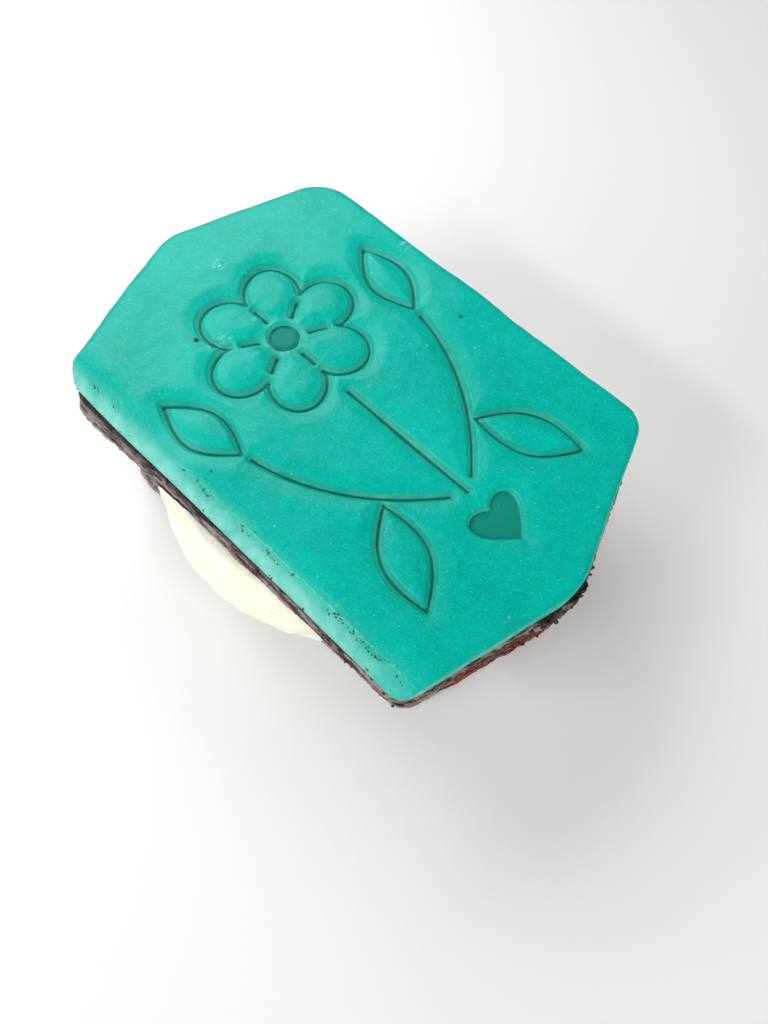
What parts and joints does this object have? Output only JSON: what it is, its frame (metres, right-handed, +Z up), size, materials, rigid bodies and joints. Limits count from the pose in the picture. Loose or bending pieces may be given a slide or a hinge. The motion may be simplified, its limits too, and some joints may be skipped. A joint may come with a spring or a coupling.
{
  "type": "ice cream sandwich",
  "caption": "Ice cream sandwich: long hexagonal chocolate biscuits, a pressed vanilla scoop between them, and teal rolled icing on top with a flower posy pressed into it.",
  "frame": {"origin": "on the table, under the middle of the bounding box", "axes": "+Z up through the stack, +X along the plaque's long axis, towards the stems of the pressed posy"},
  "size_m": [0.0975, 0.0718, 0.033],
  "materials": {
    "icing": "satin rolled sugar icing, teal, with fine sugar specks",
    "biscuit": "matt, crumbly dark chocolate biscuit",
    "ice_cream": "soft satin vanilla ice cream, cream white"
  },
  "bodies": {
    "root": {"icing": "icing", "upper_biscuit": "biscuit", "ice_cream": "ice_cream", "lower_biscuit": "biscuit"}
  },
  "joints": []
}
